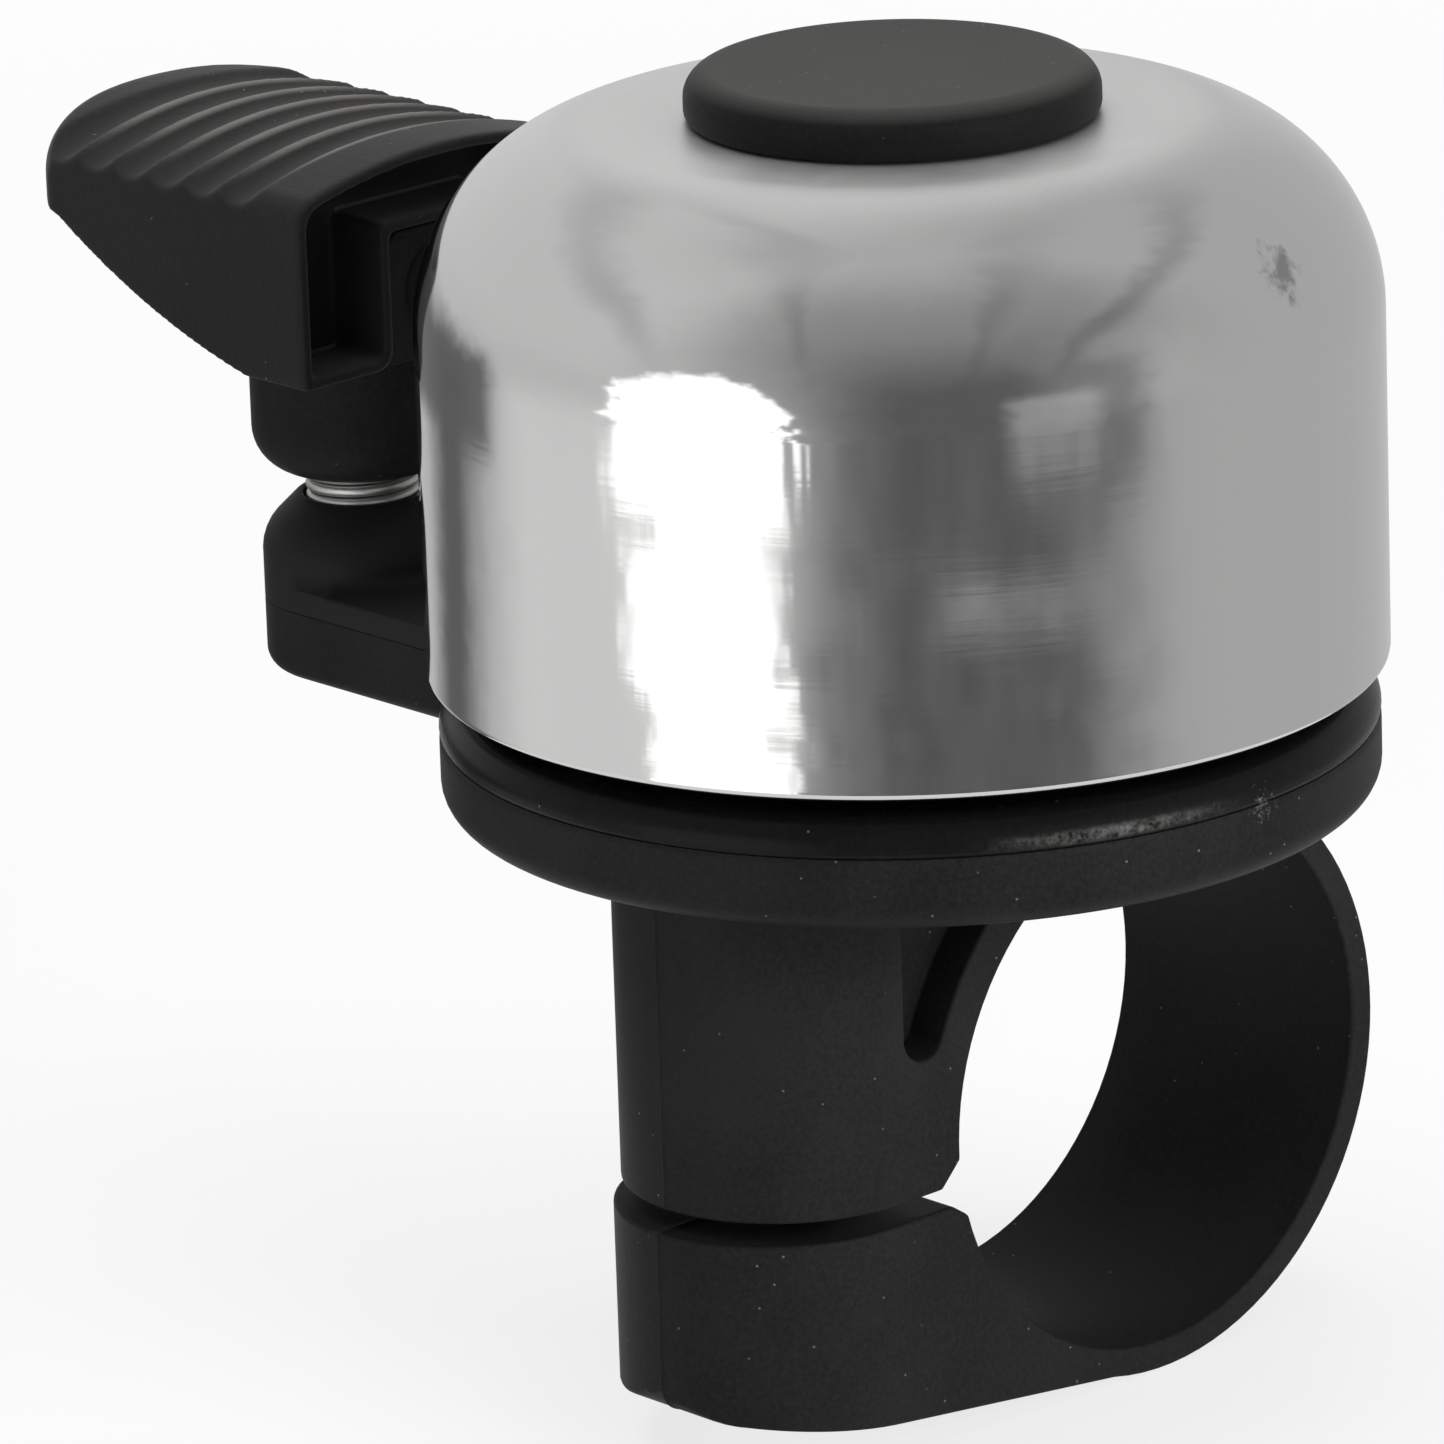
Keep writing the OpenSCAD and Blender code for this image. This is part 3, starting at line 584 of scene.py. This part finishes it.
# One small stain on the right of the shoulder, where the plating is pitted.
stain_spot = (0.01765, -0.00373, 0.03596)
stain_rate, stain_fray = 1300.0, 0.0045
stain_rim, stain_heart, stain_share = 0.0035, 0.0022, 0.68
stain_colour = (0.17, 0.17, 0.17, 1)
spot = place(tree, "TexCoord").outputs["Object"]
pits = noise(tree, spot, stain_rate, detail=3.0, roughness=0.6)["Fac"]
apart = place(tree, "VectorMath", {0: spot, 1: stain_spot}, operation="DISTANCE").outputs["Value"]
ragged = calc(tree, "MULTIPLY_ADD", pits, stain_fray, apart)
stain = ranged(tree, ragged, stain_rim, stain_heart, 0.0, stain_share, smooth=True)
stained = mixed(tree, stain, chrome_colour, stain_colour)
tree.links.new(stained, tree.nodes["Principled BSDF"].inputs["Base Color"])
wear(spun_dome, chrome_plate, "base", "polished_dome", "bell_dome")


# Screws, washer and nut: plated steel. The long screw draws the dome, the post and the clamp body
# together, and the short one draws the strap shut into its captive nut.
zinc_plate = polished_finish(
    "zinc_plate", colour=(0.52, 0.52, 0.53, 1), roughness=0.24, haze=0.14, marks_rate=4200.0,
    mark_depth=0.000003)
for node_name, piece_name, edge_round in (
        ("dome_washer", "steel_washer", 0.0001), ("clamp_nut", "captive_nut", 0.00015)):
    fastener = moulded_copy(node_name, piece_name, edge_round)
    wear(fastener, zinc_plate, "base", "plated_steel", node_name)

# The CAD shanks are plain, so each is drawn in to the root of its thread and a ridge is wound on it.
shank_radius = 0.002
screw_edge = 0.00008
ridge_sunk = 0.0001
thread_steps = 24
clamp_screw_y = -0.0145


def threaded_screw(node_name, piece_name, axis_y, low, high, root, pitch):
    """A screw from its CAD solid, with a thread wound from low to high."""
    screw = flat_copy(node_name)
    for vert in screw.verts:
        if abs(math.hypot(vert.co.x, vert.co.y - axis_y) - shank_radius) < same_point:
            vert.co.x *= root / shank_radius
            vert.co.y = axis_y + (vert.co.y - axis_y) * root / shank_radius
    round_edges(screw, screw_edge, mould_segments)
    foot = root - ridge_sunk
    corners = [(foot, 0.1), (foot, 0.9), (shank_radius, 0.56), (shank_radius, 0.44)]
    ridge = screw.faces.new([
        screw.verts.new((radius, axis_y, low + share * pitch)) for radius, share in corners])
    turns = (high - low) / pitch - 1
    bmesh.ops.spin(
        screw, geom=[ridge, *ridge.edges, *ridge.verts], cent=(0, axis_y, 0), axis=(0, 0, 1),
        dvec=(0, 0, pitch / thread_steps), angle=turns * full_turn, steps=round(turns * thread_steps))
    bmesh.ops.recalc_face_normals(screw, faces=screw.faces)
    return even_shading(finish_mesh(screw, piece_name))


long_screw = threaded_screw(
    "dome_screw", "long_screw", bell_y, low=0.0132, high=0.0260, root=0.00150, pitch=0.0014)
wear(long_screw, zinc_plate, "base", "plated_steel", "dome_screw")
short_screw = threaded_screw(
    "clamp_screw", "short_screw", clamp_screw_y, low=-0.0074, high=0.0149, root=0.00162, pitch=0.0007)
wear(short_screw, zinc_plate, "base", "plated_steel", "clamp_screw")


# Top cap: a dark disc with a slightly dished top and a round edge, pushed into the seat over the
# screw's head. It is moulded with a soft, matt skin, and its top is painted paler as a painted
# highlight.
cap_skin = moulded_finish(
    "cap_skin", deep=(0.006, 0.0057, 0.0054, 1), pale=(0.011, 0.0105, 0.010, 1), grain_rate=6000.0,
    roughness=0.52, change=0.10, bump_height=0.000012, painted_top_light=0.23, specular_ior_level=0.06,
    sheen_weight=0.03)
cap_foot_radius = 0.0075
cap_foot_margin = 0.0001


def on_cap_foot(middle):
    """Whether a point lies on the cap's lower outer edge, which is rounded under."""
    out = math.hypot(middle.x - bell_x, middle.y - bell_y)
    return middle.z < dome_high.z + cap_foot_margin and out > cap_foot_radius


pushed_cap = moulded_copy(
    "top_cap", "pushed_cap", edge_round=0.00015, soft_round=0.00045, soft_edge=on_cap_foot)
wear(pushed_cap, cap_skin, "base", "cap_black", "top_cap")


# Striker: a barrel that takes the spring's upper end, with a tongue that carries the cover.
# It is moulded in black nylon, and the steel hammer is pressed into its tongue.
striker_moulding = moulded_copy("striker_core", "striker_moulding", edge_round=0.0001)
wear(striker_moulding, satin_nylon, "striker", "striker_black", "striker_core")
bright_steel = polished_finish(
    "bright_steel", colour=(0.58, 0.57, 0.55, 1), roughness=0.16, haze=0.10, marks_rate=3600.0,
    mark_depth=0.000002)
hammer_pin = moulded_copy("hammer", "hammer_pin", edge_round=0.0001)
wear(hammer_pin, bright_steel, "striker", "hammer_steel", "hammer")


# Thumb cover: a soft rubber cap pushed over the tongue, with scallops that keep the thumb from
# slipping. Its edges and crests are soft because rubber fills a mould with rounded corners.
# The rubber is a shell, so its end towards the dome is hollow round the tongue.
# Its upward faces are painted a little paler, as a painted highlight.
cover_rubber = moulded_finish(
    "cover_rubber", deep=(0.006, 0.006, 0.0058, 1), pale=(0.012, 0.0117, 0.0113, 1), grain_rate=4600.0,
    roughness=0.52, change=0.12, bump_height=0.00002, painted_top_light=0.06, specular_ior_level=0.10,
    sheen_weight=0.07)
pad_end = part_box("thumb_cover")[1].x
pad_wall = 0.0005
hollow_depth = 0.003
hollow_taper = 0.00005
at_end = 1e-5
pad_solid = merged_copy("thumb_cover")
end_faces = [face for face in pad_solid.faces if all(
    abs(vert.co.x - pad_end) < at_end for vert in face.verts)]
for thickness, depth in ((pad_wall, 0.0), (hollow_taper, -hollow_depth)):
    bmesh.ops.inset_region(
        pad_solid, faces=end_faces, thickness=thickness, depth=depth, use_boundary=True,
        use_even_offset=True)
thumb_pad = finish_mesh(pad_solid, "thumb_pad")
for voxel, rounds in ((0.0001, 14), (0.00014, 3)):
    soft_form = thumb_pad.modifiers.new("soft_form", "REMESH")
    soft_form.mode = "VOXEL"
    soft_form.voxel_size = voxel
    soft_form.use_smooth_shade = True
    soft_edges = thumb_pad.modifiers.new("soft_edges", "SMOOTH")
    soft_edges.factor = 0.5
    soft_edges.iterations = rounds

# Crests between the scallops are painted pale on top, a painted highlight, most in the middle of the
# cover.
crest_start = pad_end - 0.0031
crest_pitch = 0.0022
crests = 6
crest_rim, crest_heart = 0.19, 0.03
crest_highlight_end, crest_highlight_full = 0.0074, 0.003
crest_highlight_colour = (0.15, 0.14, 0.13, 1)
tree = cover_rubber.node_tree
here = place(tree, "TexCoord").outputs
axes = place(tree, "SeparateXYZ", {"Vector": here["Object"]}).outputs
upward = place(tree, "SeparateXYZ", {"Vector": here["Normal"]}).outputs["Z"]
count = ranged(tree, axes["X"], crest_start, crest_start - crest_pitch, clamp=False)
off = calc(tree, "PINGPONG", count, 0.5)
crest_highlight = ranged(tree, off, crest_rim, crest_heart, smooth=True)
first = calc(tree, "GREATER_THAN", count, -0.5)
last = calc(tree, "LESS_THAN", count, crests - 0.5)
middle = ranged(tree, apart_from(tree, axes["Y"], spring_y), crest_highlight_end, crest_highlight_full, smooth=True)
topside = ranged(tree, upward, low=0.5, high=0.8)
for share in (first, last, middle, topside):
    crest_highlight = calc(tree, "MULTIPLY", crest_highlight, share)
rework(tree, "Base Color", lambda plain: mixed(tree, crest_highlight, plain, crest_highlight_colour))
wear(thumb_pad, cover_rubber, "striker", "cover_black", "thumb_cover")


# Spring: close-wound steel wire that stands on the spring post and carries the striker. Its lower
# tail is trapped between the halves of the base.
coil_radius = 0.00215
wire_radius = 0.00025
wire_sides = 12
coil_foot, coil_head = 0.01585, 0.02689
coil_turns = 21
coil_steps = 36
tail_length = 0.003
coil_wire = bmesh.new()
ring = bmesh.ops.create_circle(
    coil_wire, cap_ends=True, segments=wire_sides, radius=wire_radius)["verts"]
bmesh.ops.rotate(coil_wire, verts=ring, cent=(0, 0, 0), matrix=Matrix.Rotation(math.pi / 2, 3, "Y"))
bmesh.ops.translate(coil_wire, verts=ring, vec=(spring_x, spring_y + coil_radius, coil_foot))
tail_end = coil_wire.faces[:]
tail = bmesh.ops.extrude_face_region(coil_wire, geom=tail_end, use_keep_orig=True)["geom"]
tail_verts = [part for part in tail if isinstance(part, bmesh.types.BMVert)]
bmesh.ops.translate(coil_wire, verts=tail_verts, vec=(tail_length, 0, 0))
bmesh.ops.spin(
    coil_wire, geom=tail_end, cent=(spring_x, spring_y, 0), axis=(0, 0, 1),
    dvec=(0, 0, (coil_head - coil_foot) / coil_turns / coil_steps),
    angle=coil_turns * full_turn, steps=coil_turns * coil_steps)
bmesh.ops.remove_doubles(coil_wire, verts=coil_wire.verts, dist=same_point)
inner = [face for face in coil_wire.faces if all(len(edge.link_faces) > 2 for edge in face.edges)]
bmesh.ops.delete(coil_wire, geom=inner, context="FACES_ONLY")
bmesh.ops.recalc_face_normals(coil_wire, faces=coil_wire.faces)
coil_spring = finish_mesh(coil_wire, "coil_spring")
spring_zinc = polished_finish(
    "spring_zinc", colour=(0.50, 0.50, 0.49, 1), roughness=0.42, haze=0.12, marks_rate=5200.0,
    mark_depth=0.000004)
coil_spring.data.materials.append(spring_zinc)
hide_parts("striker_spring")
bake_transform(coil_spring)


# Studio floor: a plain pale sheet under the bell that takes its shadow, and runs out into white.
# It shows white to the camera, to mirrors and to clear pieces, and lights the bell as plain paper.
floor_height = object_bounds()[0][2]
floor_half = 3.0
white_starts, white_full, least_white = 0.06, 0.35, 0.78


def shown(tree):
    """1 for the rays that show the background, and 0 for those that only carry its light."""
    rays = place(tree, "LightPath").outputs
    seen = calc(tree, "MAXIMUM", rays["Is Camera Ray"], rays["Is Glossy Ray"])
    return calc(tree, "MAXIMUM", seen, rays["Is Transmission Ray"])


studio_floor = bmesh.new()
bmesh.ops.create_grid(studio_floor, x_segments=1, y_segments=1, size=floor_half)
bmesh.ops.translate(studio_floor, verts=studio_floor.verts, vec=(0, 0, floor_height))
floor_sheet = finish_mesh(studio_floor, "floor_sheet")
paper = bpy.data.materials.new("white_paper")
paper.use_nodes = True
tree = paper.node_tree
tree.nodes.clear()
beside, out = beside_axis(tree, 0, 0)
white_share = ranged(tree, out, white_starts, white_full, least_white, 1.0, smooth=True)
lift = calc(tree, "MULTIPLY", shown(tree), white_share)
matt = place(tree, "BsdfDiffuse", {"Color": (0.88, 0.88, 0.88, 1)})
white = place(tree, "Emission", {"Color": (1, 1, 1, 1), "Strength": 1.0})
sheet = place(tree, "MixShader", {0: lift, 1: matt.outputs[0], 2: white.outputs[0]})
place(tree, "OutputMaterial", {"Surface": sheet.outputs[0]})
floor_sheet.data.materials.append(paper)


# Light tent: the pale walls, the tall softbox and the dark side of a studio, which only the
# polished metal and the sheen of the plastic show. The camera and the shadows pass through it.
tent_radius, tent_mouth = 0.45, 0.05
tent_foot, tent_height = floor_height + 0.0002, 0.50
tent_sweep, tent_vault = 0.15, 0.3
tent_centre = 0.028
tent_steps = 96
tent_outline = [
    (tent_mouth, tent_foot, 0), (tent_radius, tent_foot, tent_sweep),
    (tent_radius, tent_height, tent_vault), (0.0, tent_height, 0)]
light_tent = finish_mesh(
    spun_solid(tent_outline, tent_steps, bell_x, bell_y, closed=False), "light_tent")
cloth = bpy.data.materials.new("tent_cloth")
cloth.use_nodes = True
tree = cloth.node_tree
tree.nodes.clear()
spot = place(tree, "TexCoord").outputs["Object"]
spot = place(tree, "Mapping", {
    "Vector": spot, "Location": (-bell_x, -bell_y, -tent_centre)}).outputs["Vector"]
axes = place(tree, "SeparateXYZ", {"Vector": spot}).outputs
azimuth = turn_from_front(tree, axes)
flat = place(tree, "CombineXYZ", {"X": axes["X"], "Y": axes["Y"]}).outputs[0]
reach = place(tree, "VectorMath", {0: flat}, operation="LENGTH").outputs["Value"]
rise = calc(tree, "ARCTAN2", axes["Z"], reach)
turn = ranged(tree, azimuth, -math.pi, math.pi)

# Level: 0 for what the rim of the dome shows, 0.45 at the start of its shoulder and 1 overhead.
shoulder_level = 0.45
wall_low, wall_high, overhead = math.radians(-20), math.radians(-13.5), math.radians(90)
wall_level = ranged(tree, rise, wall_low, wall_high, 0.0, shoulder_level)
roof_level = ranged(tree, rise, wall_high, overhead, 0.0, 1 - shoulder_level)
level = calc(tree, "ADD", wall_level, roof_level)

# The cloth is creased, which frays the edges of all that hangs on it, those of the softbox most.
creases_round, creases_up = 15.0, 45.0
crease = place(tree, "CombineXYZ", {
    "X": calc(tree, "MULTIPLY", azimuth, creases_round),
    "Y": calc(tree, "MULTIPLY", level, creases_up)}).outputs[0]


def frayed(scale, detail, aside, upset):
    """Azimuth and level, upset by the creases of the cloth."""
    fray = noise(tree, crease, scale, detail, roughness=0.66)["Color"]
    parts = place(tree, "SeparateColor", {"Color": fray}).outputs
    return (
        calc(tree, "ADD", azimuth, ranged(tree, parts["Red"], 0.0, 1.0, -aside, aside)),
        calc(tree, "ADD", level, ranged(tree, parts["Green"], 0.0, 1.0, -upset, upset)))


softly = frayed(scale=0.45, detail=2.0, aside=0.06, upset=0.018)
torn = frayed(scale=0.8, detail=6.0, aside=0.26, upset=0.03)


def over_turn(stops, interpolation="LINEAR"):
    """What changes round the tent: a value and a share, from stops (degrees, value, share)."""
    made = place(tree, "ValToRGB", {"Fac": turn})
    made.color_ramp.interpolation = interpolation
    steps = made.color_ramp.elements
    while len(steps) < len(stops):
        steps.new(0.5)
    for step, (degrees, value, *share) in zip(steps, stops):
        step.position = (degrees + 180) / 360
        step.color = (value, value, value, *(share or [1]))
    return made.outputs


def between(value, low, high, soft):
    """1 where a value lies between low and high, and 0 outside, with soft edges."""
    half = (high - low) / 2
    return ranged(tree, apart_from(tree, value, (low + high) / 2), half + soft, half - soft, smooth=True)


degrees_per_level = 200


def hung(tone, left, right, low, high, soft, shade, share=1.0, edges=softly):
    """The tone of the tent with a panel hung in it, from its sides in degrees and its levels."""
    across = between(edges[0], math.radians(left), math.radians(right), math.radians(soft))
    upright = between(edges[1], low, high, soft / degrees_per_level)
    inside = calc(tree, "MULTIPLY", calc(tree, "MULTIPLY", across, upright), share)
    return mixed(tree, inside, tone, shade, "FLOAT")


# Panels on plain cloth: pale ones at the front and over the left, a grey and a dark one on the right, a
# dark flag on the left, and small boards and flags at the height of the dome's shoulder. Each has its
# left and right side in degrees, its levels, its soft edge, its tone and its share.
plain_cloth, pale_cloth, grey_cloth, dark_cloth = 0.58, 0.9, 0.42, 0.15
tone = plain_cloth
for panel in (
        (-140, -10, 0.50, 0.88, 22, pale_cloth, 0.6),
        (-58, 24, -1, 0.49, 12, pale_cloth),
        (-93, -71, -1, 0.49, 9, dark_cloth),
        (5, 120, 0.60, 0.90, 20, grey_cloth),
        (20, 100, -1, 0.78, 22, dark_cloth, 0.4),
        (30, 92, -1, 0.66, 18, dark_cloth),
        (-110, -62, 0.385, 0.505, 5, dark_cloth, 0.9),
        (52, 97, 0.262, 0.325, 5, grey_cloth, 0.65),
        (64, 103, 0.42, 0.61, 5, dark_cloth, 0.55),
        (70.5, 91.5, 0.445, 0.552, 3.6, grey_cloth, 0.95)):
    tone = hung(tone, *panel)

# The seams of the roof show as dark lines that arch from wall to wall: (degrees, level, share).
for seam, seam_width in (
        (((-180, 0.60, 0), (-130, 0.66, 0), (-104, 0.87, 0.14), (-60, 0.925, 0.14), (-8, 0.895, 0.16),
          (16, 0.78, 0.20), (28, 0.60, 0), (180, 0.60, 0)), 0.060),
        (((-180, 0.62, 0), (-126, 0.66, 0), (-110, 0.725, 0.17), (-76, 0.752, 0.18), (-30, 0.705, 0.22),
          (-8, 0.60, 0), (180, 0.60, 0)), 0.055),
        (((-180, 0.905, 0.12), (-150, 0.80, 0), (56, 0.58, 0), (70, 0.75, 0.18), (94, 0.875, 0.16),
          (150, 0.92, 0.10), (180, 0.905, 0.12)), 0.060),
        (((-180, 0.775, 0.22), (-150, 0.72, 0), (76, 0.58, 0), (90, 0.672, 0.30), (120, 0.748, 0.30),
          (160, 0.778, 0.26), (180, 0.775, 0.22)), 0.040)):
    line = over_turn(seam, "CARDINAL")
    off = apart_from(tree, softly[1], line["Color"])
    near = ranged(tree, off, seam_width, 0.0, smooth=True)
    tone = mixed(tree, calc(tree, "MULTIPLY", near, line["Alpha"]), tone, 0.0, "FLOAT")

# Slow clouds on the dark side, where the cloth hangs nearer to the lamps or farther from them.
drape_depth = 0.3
dark_left, dark_right, dark_soft = math.radians(20), math.radians(100), math.radians(14)
drape = noise(tree, crease, scale=0.35, detail=4.0, roughness=0.65)["Fac"]
drape = ranged(tree, drape, low=0.3, high=0.7, to_low=-drape_depth, to_high=drape_depth)
dark_side = between(azimuth, dark_left, dark_right, dark_soft)
low_side = between(level, low=-1, high=shoulder_level, soft=0.12)
for share in (dark_side, low_side):
    drape = calc(tree, "MULTIPLY", drape, share)
tone = calc(tree, "MULTIPLY_ADD", tone, drape, tone)

# The tall softbox has an arched top, and clips pinch it in at the height of the dome's shoulder.
# It is drawn as panels that lie over each other, each with its sides in degrees and its levels.
softbox_glow, softbox_edge, arch_edge = 1.9, 1.4, 0.008
arch = over_turn((
    (-180, 0.5), (-30, 0.50), (-24, 0.548), (-14, 0.588), (0, 0.612), (10, 0.60), (17, 0.565),
    (24, 0.50), (180, 0.5)))["Color"]
under = ranged(tree, calc(tree, "SUBTRACT", torn[1], arch), arch_edge, -arch_edge)
softbox = 0.0
for left, right, low, high in (
        (-12, 14.5, -0.2, 0.7), (-23, 21, 0.385, 0.7), (-18.5, 18, 0.145, 0.352),
        (-13, 21.5, 0.12, 0.19), (-12, 21, -0.2, 0.09)):
    softbox = hung(softbox, left, right, low, high, softbox_edge, 1.0, edges=torn)
softbox = calc(tree, "MULTIPLY", softbox, under)
lit = mixed(tree, softbox, tone, softbox_glow, "FLOAT")
glow = place(tree, "Emission", {"Color": lit, "Strength": 1.0})
place(tree, "OutputMaterial", {"Surface": glow.outputs[0]})
light_tent.data.materials.append(cloth)
light_tent.visible_camera = False
light_tent.visible_diffuse = False
light_tent.visible_shadow = False
light_tent.visible_transmission = False
light_tent.visible_volume_scatter = False


# Lamps: large soft lamps overhead, behind and at each side, at a plain level, in a pale room.
# The room is white where it is seen, and lights the bell a little from all sides.
lamp_aim = Vector((bell_x, bell_y, 0.02))
room_light = 0.20


def soft_lamp(name, power, size, spot):
    """A square lamp that faces the bell."""
    lamp = bpy.data.lights.new(name, "AREA")
    lamp.energy = power
    lamp.size = size
    lamp_stand = bpy.data.objects.new(name, lamp)
    lamp_stand.location = spot
    lamp_stand.rotation_euler = (lamp_aim - Vector(spot)).to_track_quat("-Z", "Y").to_euler()
    bpy.context.scene.collection.objects.link(lamp_stand)


soft_lamp("lamp_overhead", power=2.75, size=0.45, spot=(-0.05, -0.09, 0.60))
soft_lamp("lamp_back", power=0.4, size=0.30, spot=(0.24, 0.22, 0.50))
soft_lamp("lamp_left", power=0.05, size=0.35, spot=(-0.45, -0.30, 0.25))
soft_lamp("lamp_right", power=1.9, size=0.35, spot=(0.50, 0.05, 0.15))
room = bpy.data.worlds.new("pale_room")
bpy.context.scene.world = room
room.use_nodes = True
tree = room.node_tree
tree.nodes.clear()
strength = ranged(tree, shown(tree), 0.0, 1.0, room_light, 1.0)
air = place(tree, "Background", {"Color": (1, 1, 1, 1), "Strength": strength})
place(tree, "OutputWorld", {"Surface": air.outputs[0]})


# Camera: stands to the right of the bell's front and a little above it, as the photograph shows it.
# Its place, its lens and its slight roll were fitted to the dome's rim and sides and the strap's bore.
camera_turn, camera_rise = math.radians(47.259), math.radians(17.336)
camera_roll = math.radians(-1.917)
camera_distance = 0.4366
camera_aim = Vector((-0.004532, -0.012916, 0.015700))
camera_back = Vector((
    math.sin(camera_turn) * math.cos(camera_rise), -math.cos(camera_turn) * math.cos(camera_rise),
    math.sin(camera_rise)))
lens = bpy.data.cameras.new("photo_camera")
lens.sensor_width = 36.0
lens.lens = 276.15
lens.clip_start = 0.01
lens.clip_end = 20.0
camera = bpy.data.objects.new("photo_camera", lens)
camera.location = camera_aim + camera_back * camera_distance
camera.rotation_euler = (
    (-camera_back).to_track_quat("-Z", "Y") @ Quaternion((0, 0, 1), camera_roll)).to_euler()
bpy.context.scene.collection.objects.link(camera)
bpy.context.scene.camera = camera
bpy.context.scene.view_settings.view_transform = "Standard"
